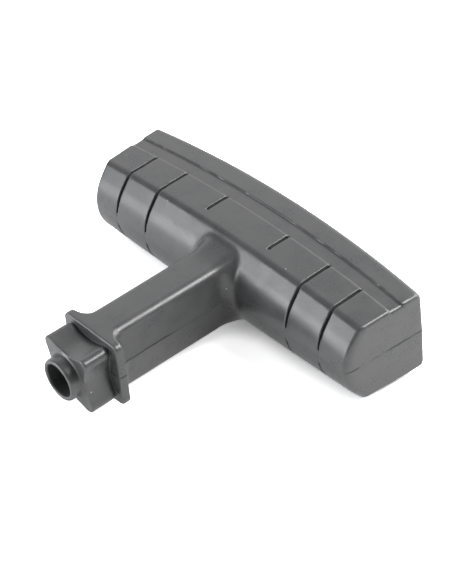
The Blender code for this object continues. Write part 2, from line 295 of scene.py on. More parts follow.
start_editing(grip)
channel_front = GRIP_FRONT_Y + PAD_END
channel_rear = channel_front + CHANNEL_WIDTH
cut_across(1, [channel_front + STEP_DRAFT, channel_rear - STEP_DRAFT, channel_rear])
pick(lambda co: channel_front + 0.01 < co.y < channel_rear - 0.01 and co.z > 10)
bpy.ops.transform.translate(value=(0, 0, -CHANNEL_DEPTH))
stop_editing()
print("channel from y", round(channel_front, 2), "to", round(channel_rear, 2))

# %% Round the ends
END_STEPS = 6
END_FRONT_DRAW = 2.0

start_editing(grip)
for side in (-1, 1):
    pick(lambda co: co.x * side > HALF_WIDTH - END_ROUND - 0.01)
    bpy.ops.mesh.dissolve_faces()
    drawn = 0.0
    for index in range(END_STEPS):
        here, there = (pi / 2 * i / END_STEPS for i in (index, index + 1))
        bpy.ops.mesh.inset(thickness=END_ROUND * (cos(here) - cos(there)),
                           depth=END_ROUND * (sin(there) - sin(here)))
        next_drawn = END_FRONT_DRAW * (1 - cos(there))
        bpy.ops.transform.resize(value=(1, (GRIP_DEPTH - next_drawn) / (GRIP_DEPTH - drawn), 1),
                                 center_override=(0, GRIP_REAR_Y, 0))
        drawn = next_drawn
stop_editing()
report(grip)

# %% [markdown]
# ## Thinner ends and arched back
#
# The whole section gets smaller towards the ends, station by station, about the line
# of the front, which thins the ends and arches the back. Then the ends are leaned,
# so that the grip is a little shorter at its front.

# %% Thin the ends and arch the back
REAR_ARCH = 2.8
END_THINNING = 1.7
END_LEAN = 1.5


def thin_and_arch(block):
    """Make the section smaller towards the ends, about the line of the front."""
    stations = sorted({round(abs(vert.co.x), 3) for vert in block.data.vertices})
    start_editing(block)
    for station in stations:
        share = (station / HALF_WIDTH) ** 2
        deep = 1 - REAR_ARCH / GRIP_DEPTH * share
        thick = 1 - END_THINNING / HALF_THICKNESS * share
        pick(lambda co: abs(abs(co.x) - station) < 0.002)
        bpy.ops.transform.resize(value=(1, deep, thick), center_override=(0, GRIP_FRONT_Y, 0))
    stop_editing()


def lean_ends(block, slice_depth=0.3):
    """Shorten the grip towards its front, one thin slice after the other."""
    end_depth = GRIP_DEPTH - REAR_ARCH
    start_editing(block)
    for index in range(int(end_depth / slice_depth) + 1):
        near = GRIP_FRONT_Y + slice_depth * (index - 0.5)
        lean = END_LEAN * max(0.0, 1 - index * slice_depth / end_depth)
        pick(lambda co: near <= co.y < near + slice_depth)
        bpy.ops.transform.resize(value=(1 - lean / HALF_WIDTH, 1, 1), center_override=(0, 0, 0))
    stop_editing()


thin_and_arch(grip)
lean_ends(grip)
print("grip spans", tuple(round(v, 2) for v in grip.dimensions), "mm")

# %% [markdown]
# ## Slots
#
# Narrow slots let the rubber of the pads give under the fingers. Two on each side run
# from the channel over the pad and right round the front to the underside. A short one
# on each side of the stem shows on the top and on the underside. Each is cut by a thin
# blade, which is thickest at the top and at the underside, so that the mould's two
# halves let go of the rubber. First the blades are cut out with a core, which is the
# grip's own blank made smaller by the slot's depth. What is left of them follows the
# grip's outline, and cuts slots of an even depth.

# %% Helpers that join and cut
def add_and_apply(piece, kind, **settings):
    """Add a modifier with its settings, and apply it at once."""
    take(piece)
    modifier = piece.modifiers.new(kind.lower(), kind)
    for name, value in settings.items():
        setattr(modifier, name, value)
    bpy.ops.object.modifier_apply(modifier=modifier.name)


def apply_boolean(body, tool, operation):
    """Unite, cut or keep with a second piece, which is then deleted."""
    add_and_apply(body, "BOOLEAN", operation=operation, solver="EXACT", object=tool)
    bpy.data.objects.remove(tool)


def join_pieces(name, pieces):
    """Join pieces into one object, without uniting them."""
    bpy.ops.object.select_all(action="DESELECT")
    for piece in pieces:
        piece.select_set(True)
    bpy.context.view_layer.objects.active = pieces[0]
    bpy.ops.object.join()
    joined = bpy.context.object
    joined.name = name
    return joined


print("made the helpers that apply modifiers, cut and join")

# %% Cut the slots
SLOT_TOP_WIDTH = 1.0
SLOT_MIDDLE_WIDTH = 0.5
SLOT_DEPTH = 1.5
LONG_SLOT_PLACES = (28.5, 40.8)
SHORT_SLOT_PLACE = 12.25
SHORT_SLOT_LENGTH = 7.3
INTO_CHANNEL = 0.1
BLADE_AHEAD = 2.0
CORE_DEPTH = 19.0
half_slot = SLOT_TOP_WIDTH / 2


def blade_at(place, front, rear):
    """A blade that is thinner at the parting plane, so that the mould lets go of it."""
    blade = new_block("blade", (place - half_slot, front, -HALF_THICKNESS),
                      (place + half_slot, rear, HALF_THICKNESS))
    start_editing(blade)
    cut_across(2, [0.0])
    pick(lambda co: abs(co.z) < 0.01)
    bpy.ops.transform.resize(value=(SLOT_MIDDLE_WIDTH / SLOT_TOP_WIDTH, 1, 1),
                             center_override=(place, 0, 0))
    stop_editing()
    return blade


core, _ = bulging_block("slot_core", SLOT_DEPTH, GRIP_FRONT_Y + CORE_DEPTH)
thin_and_arch(core)
blades = []
for side in (-1, 1):
    for place in LONG_SLOT_PLACES:
        arched = 1 - REAR_ARCH / GRIP_DEPTH * (place / HALF_WIDTH) ** 2
        rear = GRIP_FRONT_Y + (PAD_END + INTO_CHANNEL) * arched
        blades.append(blade_at(side * place, GRIP_FRONT_Y - BLADE_AHEAD, rear))
    rear = GRIP_FRONT_Y + PAD_END + INTO_CHANNEL
    blades.append(blade_at(side * SHORT_SLOT_PLACE, rear - SHORT_SLOT_LENGTH, rear))
slots = join_pieces("slots", blades)
print(len(blades), "blades, rears at y", round(rear, 2), "beside the stem")
apply_boolean(slots, core, "DIFFERENCE")
apply_boolean(grip, slots, "DIFFERENCE")
report(grip)

# %% [markdown]
# ## Stem
#
# The stem has a flat top and underside and sides that lean out to the parting plane,
# so that both halves of the mould let go of it. It is a box with its middle pushed
# out and its long edges bevelled. Both ends then grow out of it by extruding small
# steps along an arc: coves at the nose, which lead up to the flange, and a root that
# spreads into the grip and follows its bulging front.

# %% Model the stem
STEM_TOP_HALF = 5.6
STEM_PARTING_HALF = 6.85
STEM_HALF_HEIGHT = 9.95
STEM_EDGE_OFFSET = 1.9
STEM_ROWS = (1.5, 3.0, 4.5, 6.0, 7.5)
FLANGE_FRONT_Y = -28.55
FLANGE_BACK_Y = -26.25
COVE_LENGTH = 3.6
ROOT_START_Y = 8.1

stem = new_block("stem", (-STEM_TOP_HALF, FLANGE_BACK_Y + COVE_LENGTH, -STEM_HALF_HEIGHT),
                 (STEM_TOP_HALF, ROOT_START_Y, STEM_HALF_HEIGHT))
start_editing(stem)
cut_across(2, [0.0])
pick(lambda co: abs(co.z) < 0.01)
bpy.ops.transform.resize(value=(STEM_PARTING_HALF / STEM_TOP_HALF, 1, 1),
                         center_override=(0, 0, 0))
pick_edges(lambda a, b: a.x * b.x > 0 and a.z * b.z > 0 and min(abs(a.z), abs(b.z)) > 9)
bpy.ops.mesh.bevel(offset=STEM_EDGE_OFFSET, segments=6)
cut_across(2, [side * height for side in (-1, 1) for height in STEM_ROWS])
stop_editing()
print("stem:", len(stem.data.vertices), "vertices")


# %% Helpers for the rings of the stem
def ring_widths(piece, ring_y):
    """The heights of the rows in one ring of the stem, each with its half width."""
    widths = {}
    for vert in bmesh.from_edit_mesh(piece.data).verts:
        if abs(vert.co.y - ring_y) < 0.001:
            height = round(vert.co.z, 3)
            widths[height] = max(widths.get(height, 0.0), vert.co.x)
    return widths


def shift_rows(piece, ring_y, shift):
    """Move each row of a ring by what shift gives for its height, both sides alike."""
    for height in ring_widths(piece, ring_y):
        move_x, move_y = shift(height)
        for side in (-1, 1):
            pick(lambda co: (abs(co.y - ring_y) < 0.001 and abs(co.z - height) < 0.002
                             and co.x * side > 0.01))
            bpy.ops.transform.translate(value=(side * move_x, 0, 0))
        pick(lambda co: abs(co.y - ring_y) < 0.001 and abs(co.z - height) < 0.002)
        bpy.ops.transform.translate(value=(0, move_y, 0))


print("made the helpers that read and shift a ring's rows")

# %% Sweep the coves up to the flange
FLANGE_HALF = 10.9
FLANGE_CORNER_RADIUS = 2.2
ARC_STEPS = 7


def flange_half_at(height):
    """Half the flange's width at a height, round its corners."""
    into_corner = max(0.0, abs(height) - (STEM_HALF_HEIGHT - FLANGE_CORNER_RADIUS))
    return (FLANGE_HALF - FLANGE_CORNER_RADIUS
            + sqrt(max(0.0, FLANGE_CORNER_RADIUS ** 2 - into_corner ** 2)))


start_editing(stem)
ring_y = FLANGE_BACK_Y + COVE_LENGTH
stem_half_at = ring_widths(stem, ring_y)
spread = 0.0
for index in range(1, ARC_STEPS + 1):
    angle = pi / 2 * (1 - index / ARC_STEPS)
    next_y = FLANGE_BACK_Y + COVE_LENGTH * (1 - cos(angle))
    grow = 1 - sin(angle) - spread
    pick(lambda co: abs(co.y - ring_y) < 0.001)
    extrude_and_size((0, next_y - ring_y, 0))
    shift_rows(stem, next_y, lambda height: (
        grow * (flange_half_at(height) - stem_half_at[height]), 0.0))
    ring_y, spread = next_y, spread + grow
stop_editing()
print("coves reach y", round(ring_y, 2), "and spread", round(stem.dimensions.x, 2), "mm wide")

# %% Spread the root into the grip
ROOT_SIDE_RADIUS = 3.6
ROOT_TOP_RADIUS = 2.1
ROOT_ANGLE = radians(78.0)
ROOT_FULL_HEIGHT = 2.0
ROOT_INTO_GRIP = 8.0


def front_depth(height):
    """How far the bulging front falls back at a height from the parting plane."""
    limit = BULGE_RADIUS * sin(BULGE_ANGLE)
    if abs(height) <= limit:
        return BULGE_RADIUS - sqrt(BULGE_RADIUS ** 2 - height ** 2)
    return BULGE_RADIUS * (1 - cos(BULGE_ANGLE)) + (abs(height) - limit) * tan(BULGE_ANGLE)


def sideways(share):
    """How much of the root's spread goes sideways, 1 on a side and 0 on the flat top."""
    return max(0.0, 1 - max(0.0, share) ** 2)


start_editing(stem)
ring_y = ROOT_START_Y
wide = tall = 0.0
rings = []
for index in range(1, ARC_STEPS + 1):
    angle = ROOT_ANGLE * index / ARC_STEPS
    next_y = ROOT_START_Y + ROOT_SIDE_RADIUS * sin(angle)
    next_wide = ROOT_SIDE_RADIUS * (1 - cos(angle))
    next_tall = ROOT_TOP_RADIUS * (1 - cos(angle))
    pick(lambda co: abs(co.y - ring_y) < 0.001)
    taller = (STEM_HALF_HEIGHT + next_tall) / (STEM_HALF_HEIGHT + tall)
    extrude_and_size((0, next_y - ring_y, 0), (1, 1, taller))
    top_now = STEM_HALF_HEIGHT + next_tall
    shift_rows(stem, next_y, lambda height: ((next_wide - wide) * sideways(
        (abs(height) - ROOT_FULL_HEIGHT) / (top_now - ROOT_FULL_HEIGHT)), 0.0))
    rings.append((next_y, (index / ARC_STEPS) ** 2))
    ring_y, wide, tall = next_y, next_wide, next_tall
pick(lambda co: abs(co.y - ring_y) < 0.001)
extrude_and_size((0, ROOT_INTO_GRIP, 0))
for ring_y, follow in reversed(rings):
    shift_rows(stem, ring_y, lambda height: (0.0, follow * front_depth(height)))
stop_editing()
print("stem spans", tuple(round(v, 2) for v in stem.dimensions), "mm")

# %% [markdown]
# ## Flange, lobed block and boss
#
# The flange seats the handle against the starter housing. In front of it stands a
# block whose four corners are round lobes with hollow sides between them, and then
# the round boss with the mouth of the rope's bore. The block's sides are hollowed by
# moving its rows in, until they run on into the lobes. One lobe is modelled and copied
# to the other corners. Just in front of the flange the block and its lobes are pinched
# a little, which leaves a dark groove there.

# %% Model the flange
FLANGE_RIM = 0.5

flange = new_block("flange", (-FLANGE_HALF, FLANGE_FRONT_Y, -STEM_HALF_HEIGHT),
                   (FLANGE_HALF, FLANGE_BACK_Y, STEM_HALF_HEIGHT))
start_editing(flange)
pick_edges(lambda a, b: abs(a.y - b.y) > 1)
bpy.ops.mesh.bevel(offset=FLANGE_CORNER_RADIUS, segments=8)
pick_edges(lambda a, b: max(a.y, b.y) < FLANGE_FRONT_Y + 0.01)
bpy.ops.mesh.bevel(offset=FLANGE_RIM, segments=3)
stop_editing()
print("flange spans", tuple(round(v, 2) for v in flange.dimensions), "mm")

# %% Model the lobed block
STAR_FRONT_Y = -36.85
STAR_WAIST_HALF = 7.15
STAR_SIDE_RADIUS = 14.0
STAR_SIDE_HALF = 5.9
STAR_CORNER = 7.9
STAR_ROWS = 6
STAR_BACK_Y = FLANGE_FRONT_Y + 1
NECK_LENGTH = 1.3
NECK_SIZE = 0.88

block_half = STAR_WAIST_HALF + STAR_SIDE_HALF ** 2 / (2 * STAR_SIDE_RADIUS)
block = new_block("lobed_block", (-block_half, STAR_FRONT_Y, -block_half),
                  (block_half, STAR_BACK_Y, block_half))
start_editing(block)
rows = [STAR_SIDE_HALF * i / STAR_ROWS for i in range(-STAR_ROWS, STAR_ROWS + 1)]
cut_across(0, rows)
cut_across(2, rows)
for row in rows:
    hollow = (STAR_WAIST_HALF + row ** 2 / (2 * STAR_SIDE_RADIUS)) / block_half
    pick(lambda co: abs(co.z) > block_half - 0.01 and abs(co.x - row) < 0.01)
    bpy.ops.transform.resize(value=(1, 1, hollow), center_override=(0, 0, 0))
    pick(lambda co: abs(co.x) > block_half - 0.01 and abs(co.z - row) < 0.01)
    bpy.ops.transform.resize(value=(hollow, 1, 1), center_override=(0, 0, 0))
pick(lambda co: min(abs(co.x), abs(co.z)) > block_half - 0.01)
bpy.ops.transform.resize(value=(STAR_CORNER / block_half, 1, STAR_CORNER / block_half),
                         center_override=(0, 0, 0))
stop_editing()


def pinch_neck(piece):
    """Pinch the last stretch in front of the flange, which leaves a dark groove there."""
    start_editing(piece)
    cut_across(1, [FLANGE_FRONT_Y - NECK_LENGTH])
    pick(lambda co: co.y > FLANGE_FRONT_Y)
    bpy.ops.transform.resize(value=(NECK_SIZE, 1, NECK_SIZE), center_override=(0, 0, 0))
    stop_editing()


pinch_neck(block)
print("block spans", tuple(round(v, 2) for v in block.dimensions), "mm")

# %% Model a lobe and copy it to the other corners
LOBE_RADIUS = 1.9
LOBE_PLACE = 6.7
LOBE_RIM = 0.5

bpy.ops.mesh.primitive_cylinder_add(
    vertices=32, radius=LOBE_RADIUS, depth=STAR_BACK_Y - STAR_FRONT_Y,
    location=(LOBE_PLACE, (STAR_BACK_Y + STAR_FRONT_Y) / 2, LOBE_PLACE), rotation=(pi / 2, 0, 0))
lobe = bpy.context.object
bpy.ops.object.transform_apply(location=True, rotation=True, scale=True)
start_editing(lobe)
pick_edges(lambda a, b: max(a.y, b.y) < STAR_FRONT_Y + 0.01)
bpy.ops.mesh.bevel(offset=LOBE_RIM, segments=3)
stop_editing()
lobes = [lobe]
for move_x, move_z in ((-1, 0), (0, -1), (-1, -1)):
    copy = lobe.copy()
    copy.data = lobe.data.copy()
    bpy.context.scene.collection.objects.link(copy)
    start_editing(copy)
    pick(lambda co: True)
    bpy.ops.transform.translate(value=(2 * LOBE_PLACE * move_x, 0, 2 * LOBE_PLACE * move_z))
    stop_editing()
    lobes.append(copy)
for piece in lobes:
    pinch_neck(piece)
print(len(lobes), "lobes of", 2 * LOBE_RADIUS, "mm")

# %% Model the boss
BOSS_RIM_HALF = 5.95
BOSS_ROOT_HALF = 6.35
BOSS_RIM = 0.6
BOSS_BACK_Y = STAR_FRONT_Y + 1.5

bpy.ops.mesh.primitive_cone_add(
    vertices=96, radius1=BOSS_ROOT_HALF, radius2=BOSS_RIM_HALF, depth=BOSS_BACK_Y - NOSE_Y,
    location=(0, (BOSS_BACK_Y + NOSE_Y) / 2, 0), rotation=(pi / 2, 0, 0))
boss = bpy.context.object
boss.name = "boss"
bpy.ops.object.transform_apply(location=True, rotation=True, scale=True)
start_editing(boss)
pick_edges(lambda a, b: max(a.y, b.y) < NOSE_Y + 0.01)
bpy.ops.mesh.bevel(offset=BOSS_RIM, segments=4)
stop_editing()
print("boss spans", tuple(round(v, 2) for v in boss.dimensions), "mm")

# %% [markdown]
# ## The rope's way
#
# The bore starts with a rounded mouth, so that the rope doesn't chafe, narrows
# towards the back, and opens into an oblong pocket for the knot. Both are modelled
# as the plugs that fill them in the mould, and then taken out of the moulding.

# %% Model the plug of the bore
BORE_MOUTH_HALF = 4.7
BORE_THROAT_HALF = 3.5
BORE_LIP = 0.5
POCKET_DEPTH = 18.0
POCKET_FLOOR_Y = GRIP_REAR_Y - POCKET_DEPTH
FLARE_STEPS = 5
OUTSIDE = 1.5


def flare(radius, half_x, half_z, side):
    """Extrude a plug's picked end round a quarter circle, and on past the rubber."""
    grown = reached = 0.0
    for index in range(1, FLARE_STEPS + 1):
        angle = pi / 2 * index / FLARE_STEPS
        next_grown = radius * (1 - cos(angle))
        next_reached = radius * sin(angle)
        extrude_and_size((0, side * (next_reached - reached), 0),
                         ((half_x + next_grown) / (half_x + grown), 1,
                          (half_z + next_grown) / (half_z + grown)))
        grown, reached = next_grown, next_reached
    extrude_and_size((0, side * OUTSIDE, 0))


lip_y = NOSE_Y + BORE_LIP
bore_end_y = POCKET_FLOOR_Y + 1
bpy.ops.mesh.primitive_cone_add(
    vertices=96, radius1=BORE_THROAT_HALF, radius2=BORE_MOUTH_HALF, depth=bore_end_y - lip_y,
    location=(0, (bore_end_y + lip_y) / 2, 0), rotation=(pi / 2, 0, 0))
bore = bpy.context.object
bore.name = "bore_plug"
bpy.ops.object.transform_apply(location=True, rotation=True, scale=True)
start_editing(bore)
pick(lambda co: co.y < lip_y + 0.01)
flare(BORE_LIP, BORE_MOUTH_HALF, BORE_MOUTH_HALF, -1)
stop_editing()
print("bore plug spans", tuple(round(v, 2) for v in bore.dimensions), "mm")

# %% Model the plug of the pocket
POCKET_HALF_X = 12.0
POCKET_HALF_Z = 7.5
POCKET_CORNER = 5.0
POCKET_DRAFT = 0.8
POCKET_RIM = 1.2

pocket = new_block("pocket_plug", (-POCKET_HALF_X, POCKET_FLOOR_Y, -POCKET_HALF_Z),
                   (POCKET_HALF_X, GRIP_REAR_Y - POCKET_RIM, POCKET_HALF_Z))
start_editing(pocket)
pick_edges(lambda a, b: abs(a.y - b.y) > 1)
bpy.ops.mesh.bevel(offset=POCKET_CORNER, segments=8)
pick(lambda co: co.y < POCKET_FLOOR_Y + 0.01)
bpy.ops.transform.resize(
    value=(1 - POCKET_DRAFT / POCKET_HALF_X, 1, 1 - POCKET_DRAFT / POCKET_HALF_Z),
    center_override=(0, 0, 0))
pick(lambda co: co.y > GRIP_REAR_Y - POCKET_RIM - 0.01)
flare(POCKET_RIM, POCKET_HALF_X, POCKET_HALF_Z, 1)
stop_editing()
print("pocket plug spans", tuple(round(v, 2) for v in pocket.dimensions), "mm")

# %% [markdown]
# ## One moulding
#
# All solids are united and the plugs taken out. The real handle has no sharp inner
# corner anywhere, because the mould's own edges are rounded. A voxel remesh turns the
# union into one skin of small even faces, and a light smoothing rounds what the
# booleans left sharp.

# %% Unite the solids and take out the plugs
apply_boolean(grip, pocket, "DIFFERENCE")
for piece in (flange, block, *lobes, boss, grip):
    apply_boolean(stem, piece, "UNION")
apply_boolean(stem, bore, "DIFFERENCE")
handle = stem
handle.name = "moulded_handle"
handle.data.name = "moulded_handle"
report(handle)

# %% Fuse it into one soft skin
VOXEL = 0.22

add_and_apply(handle, "REMESH", mode="VOXEL", voxel_size=VOXEL, adaptivity=0.0)
print("remeshed:", len(handle.data.polygons), "faces")
add_and_apply(handle, "SMOOTH", factor=0.5, iterations=2)

# %% [markdown]
# ## Soft root and soft lobes
#
# On the real handle nobody can say where the stem ends and the grip begins: the mould
# was blended there by hand. The lobes of the nose melt into the hollow sides as well.
# A vertex group marks each zone with a weight that fades at its rim, and a smoothing
# that follows the group melts the surfaces into each other, without touching the crisp
# edges beside them. It works evenly only while the faces are even, so it comes before
# the decimate.

# %% Blend the root and the lobes
ROOT_ZONE_HALF_WIDTH = 15.0
ROOT_ZONE_FRONT_Y = 7.0
ROOT_ZONE_REAR_Y = 18.5
ROOT_ZONE_HALF_HEIGHT = 12.9
ROOT_ZONE_FADE = 3.0
LOBE_ZONE_FRONT_Y = STAR_FRONT_Y + 0.7
LOBE_ZONE_REAR_Y = FLANGE_FRONT_Y - 0.6
LOBE_ZONE_FROM = 5.5
FOOT_ZONE_HALF = 1.2
ROOT_ROUNDS = 160
LOBE_ROUNDS = 40


def fade(distance, width):
    """Rise from 0 to 1 over a width."""
    return min(1.0, max(0.0, distance / width))


def root_weight(co):
    """How much a point belongs to the root, 1 in its middle and 0 outside it."""
    return (fade(ROOT_ZONE_HALF_WIDTH - abs(co.x), ROOT_ZONE_FADE)
            * fade(co.y - ROOT_ZONE_FRONT_Y, ROOT_ZONE_FADE)
            * fade(ROOT_ZONE_REAR_Y - co.y, 1.0)
            * fade(ROOT_ZONE_HALF_HEIGHT - abs(co.z), 0.8))


def lobe_weight(co):
    """How much a point belongs to the sides of the lobed block, or to the boss's foot."""
    side = (fade(max(abs(co.x), abs(co.z)) - LOBE_ZONE_FROM, 0.5)
            * fade(co.y - LOBE_ZONE_FRONT_Y, 0.8) * fade(LOBE_ZONE_REAR_Y - co.y, 0.8))
    foot = (fade(FOOT_ZONE_HALF - abs(sqrt(co.x ** 2 + co.z ** 2) - BOSS_ROOT_HALF), 0.5)
            * fade(FOOT_ZONE_HALF - abs(co.y - STAR_FRONT_Y), 0.6))
    return max(side, foot)


def soften(piece, name, weight_of, iterations):
    """Smooth a piece where a weight says so."""
    group = piece.vertex_groups.new(name=name)
    marked = 0
    for vert in piece.data.vertices:
        weight = weight_of(vert.co)
        if weight > 0:
            group.add([vert.index], weight, "REPLACE")
            marked += 1
    add_and_apply(piece, "SMOOTH", factor=0.5, iterations=iterations, vertex_group=name)
    print(name, "softened:", marked, "vertices")


soften(handle, "root_zone", root_weight, ROOT_ROUNDS)
soften(handle, "lobe_zone", lobe_weight, LOBE_ROUNDS)

# %% Keep faces only where the shape needs them
MOST_TRIANGLES = 190000
triangles = 2 * len(handle.data.polygons)
if triangles > MOST_TRIANGLES:
    add_and_apply(handle, "DECIMATE", ratio=MOST_TRIANGLES / triangles)
print("decimated:", len(handle.data.polygons), "faces")

# %% Shrink it to metres and set it on its place
start_editing(handle)
pick(lambda co: True)
bpy.ops.transform.resize(value=(MM, MM, MM), center_override=(0, 0, 0))
bpy.ops.transform.translate(value=(0, 0, (low[2] + high[2]) / 2))
bpy.ops.mesh.select_all(action="SELECT")
bpy.ops.mesh.normals_make_consistent(inside=False)
stop_editing()
take(handle)
bpy.ops.object.shade_smooth()
print("handle spans", tuple(round(v, 4) for v in handle.dimensions), "m")

# %% [markdown]
# ## How sharp the skin is
#
# The ridges stick out: the rims of the slots, the steps and the flange. The finish
# paints them paler, as wear and as a painted highlight, and paints shade into the
# grooves. So the finish has to know these places, and the script measures how quickly
# the skin turns at every vertex and keeps the number on the mesh as an attribute. It is
# above zero on a ridge and below zero in a groove, and is counted per millimetre. Each
# vertex then takes the mean with its neighbours twice.

# %% Measure the ridges and grooves
CALM_ROUNDS = 2


def measure_sharpness(piece):
    """Keep on each vertex how quickly the skin turns there, in 1/mm."""
    mesh = piece.data
    places = [vert.co.copy() for vert in mesh.vertices]
    normals = [vert.normal.copy() for vert in mesh.vertices]
    turn = [0.0] * len(places)
    count = [0] * len(places)
    for edge in mesh.edges:
        a, b = edge.vertices
        way = places[b] - places[a]
        bend = (normals[b] - normals[a]).dot(way) / max(way.length_squared, 1e-12)
        for end in (a, b):
            turn[end] += bend * MM
            count[end] += 1
    values = [total / max(number, 1) for total, number in zip(turn, count)]
    for _ in range(CALM_ROUNDS):
        turn = list(values)
        count = [1] * len(values)
        for edge in mesh.edges:
            a, b = edge.vertices
            turn[a] += values[b]
            turn[b] += values[a]
            count[a] += 1
            count[b] += 1
        values = [total / number for total, number in zip(turn, count)]
    attribute = mesh.attributes.new("sharpness", "FLOAT", "POINT")
    attribute.data.foreach_set("value", values)
    return min(values), max(values)


least, most = measure_sharpness(handle)
print("sharpness from", round(least, 2), "to", round(most, 2), "per mm")

# %% [markdown]
# ## Patterns
#
# The effects below are node groups: small machines with named inputs and outputs that
# a material places and feeds with its own values. They read the piece's own place in
# metres, so a grain of 0.3 mm is typed as 0.0003. A group puts out only masks and
# heights. What they do to the rubber is decided in the material.

# %% Helpers for nodes
def new_group(name, inputs, outputs):
    """Make a node group with named sockets, and return it with its two ends."""
    group = bpy.data.node_groups.new(name, "ShaderNodeTree")
    for label, kind, value in inputs:
        socket = group.interface.new_socket(label, in_out="INPUT", socket_type=kind)
        if value is not None:
            socket.default_value = value
    for label, kind in outputs:
        group.interface.new_socket(label, in_out="OUTPUT", socket_type=kind)
    return group, group.nodes.new("NodeGroupInput"), group.nodes.new("NodeGroupOutput")


def add_node(tree, kind, inputs, **settings):
    """Add a node with its options, and wire or set its inputs."""
    made = tree.nodes.new(kind)
    for name, value in settings.items():
        setattr(made, name, value)
    for key, value in inputs.items():
        if isinstance(value, bpy.types.NodeSocket):
            tree.links.new(value, made.inputs[key])
        else:
            made.inputs[key].default_value = value
    return made


def calc(tree, operation, *values):
    """One Math node: what it puts out for some sockets or numbers."""
    return add_node(tree, "ShaderNodeMath", dict(enumerate(values)), operation=operation).outputs[0]


def rise(tree, value, start, end, low=0.0, high=1.0):
    """Go softly from low to high while a value goes from start to end."""
    inputs = {"Value": value, "From Min": start, "From Max": end, "To Min": low, "To Max": high}
    return add_node(tree, "ShaderNodeMapRange", inputs,
                    interpolation_type="SMOOTHSTEP").outputs["Result"]


def noise(tree, vector, size, detail=2.0, roughness=0.5):
    """Cloudy noise whose lumps are about one size wide."""
    return add_node(tree, "ShaderNodeTexNoise",
                    {"Vector": vector, "Scale": calc(tree, "DIVIDE", 1.0, size),
                     "Detail": detail, "Roughness": roughness}).outputs["Fac"]


print("made the helpers that add and wire nodes")

# %% [markdown]
# ### Mould grain
#
# The mould's steel was blasted, so the rubber has a fine even grain. Under it lie
# wider, very low waves, where the rubber shrank as it cooled. The first makes the
# sheen sparkle a little, the second makes it drift.

# %% Build the grain
grain_group, grain_in, grain_out = new_group(
    "mould_grain",
    [("Vector", "NodeSocketVector", None), ("Grain Size", "NodeSocketFloat", 0.0004),
     ("Wave Size", "NodeSocketFloat", 0.004)],
    [("Grain", "NodeSocketFloat"), ("Waves", "NodeSocketFloat")])
fine = noise(grain_group, grain_in.outputs["Vector"], grain_in.outputs["Grain Size"], 3.0, 0.6)
wide = noise(grain_group, grain_in.outputs["Vector"], grain_in.outputs["Wave Size"], 2.0, 0.5)
grain_group.links.new(fine, grain_out.inputs["Grain"])
grain_group.links.new(wide, grain_out.inputs["Waves"])
print("grain group:", len(grain_group.nodes), "nodes")

# %% [markdown]
# ### Parting line
#
# The two halves of the mould meet half way up the handle. A thread of rubber creeps
# between them and is torn off, which leaves a thin dark line that comes and goes. The
# group marks the points near one height, and lets a cloudy noise break the line. The
# mould fits worst at its sides, so the line breaks less where the skin faces sideways.

# %% Build the parting line
WOBBLE_LENGTH = 0.003
WOBBLE = 0.0004
LINE_CORE = 0.3
SIDE_FACING = (0.5, 0.95)
SIDE_HOLD = 0.16
BREAKS = (0.5, 0.62)

line_group, line_in, line_out = new_group(
    "parting_line",
    [("Vector", "NodeSocketVector", None), ("Height", "NodeSocketFloat", 0.0),
     ("Half Width", "NodeSocketFloat", 0.0002), ("Break Size", "NodeSocketFloat", 0.01),
     ("Sideways", "NodeSocketFloat", 1.0)],
    [("Line", "NodeSocketFloat")])
where = line_in.outputs["Vector"]
half_width = line_in.outputs["Half Width"]
wobble = calc(line_group, "MULTIPLY_ADD",
              noise(line_group, where, WOBBLE_LENGTH), WOBBLE, -WOBBLE / 2)
place = add_node(line_group, "ShaderNodeSeparateXYZ", {"Vector": where}).outputs["Z"]
away = calc(line_group, "SUBTRACT", place, line_in.outputs["Height"])
away = calc(line_group, "ABSOLUTE", calc(line_group, "ADD", away, wobble))
near = rise(line_group, away, half_width, calc(line_group, "MULTIPLY", half_width, LINE_CORE))
cloud = noise(line_group, where, line_in.outputs["Break Size"])
strength = rise(line_group, line_in.outputs["Sideways"], *SIDE_FACING)
kept = rise(line_group, calc(line_group, "MULTIPLY_ADD", strength, SIDE_HOLD, cloud), *BREAKS)
line_group.links.new(calc(line_group, "MULTIPLY", near, kept), line_out.inputs["Line"])
print("parting line group:", len(line_group.nodes), "nodes")

# %% [markdown]
# ### Edge wear and painted highlight
#
# Handling polishes the ridges and leaves them paler. The same paler colour also stands in
# for the highlight that the ridges catch, as a painted highlight. The group turns the measured
# sharpness into a mask, and noise keeps it from running evenly along every edge.

# %% Build the edge wear and painted highlight
PATCHES = (0.3, 0.65)
LEAST_WEAR_AND_HIGHLIGHT = 0.25

wear_and_highlight_group, wear_and_highlight_in, wear_and_highlight_out = new_group(
    "edge_wear_and_highlight",
    [("Vector", "NodeSocketVector", None), ("Sharpness", "NodeSocketFloat", 0.0),
     ("Start", "NodeSocketFloat", 0.4), ("Full", "NodeSocketFloat", 1.5),
     ("Patch Size", "NodeSocketFloat", 0.003)],
    [("Wear And Highlight", "NodeSocketFloat")])
ridge = rise(wear_and_highlight_group, wear_and_highlight_in.outputs["Sharpness"],
             wear_and_highlight_in.outputs["Start"], wear_and_highlight_in.outputs["Full"])
cloud = noise(wear_and_highlight_group, wear_and_highlight_in.outputs["Vector"], wear_and_highlight_in.outputs["Patch Size"])
patches = rise(wear_and_highlight_group, cloud, *PATCHES, LEAST_WEAR_AND_HIGHLIGHT, 1.0)
wear_and_highlight_group.links.new(calc(wear_and_highlight_group, "MULTIPLY", ridge, patches), wear_and_highlight_out.inputs["Wear And Highlight"])
print("edge wear group:", len(wear_and_highlight_group.nodes), "nodes")

# %% [markdown]
# ### Dust
#
# A rubber part that has lain in a bin carries a few pale specks. Space is divided
# into cells round scattered points. Only some cells hold a speck, and each has a size
# of its own, so that no pattern shows.

# %% Build the dust
LEAST_SPECK = 0.3
SPECK_CORE = 0.4

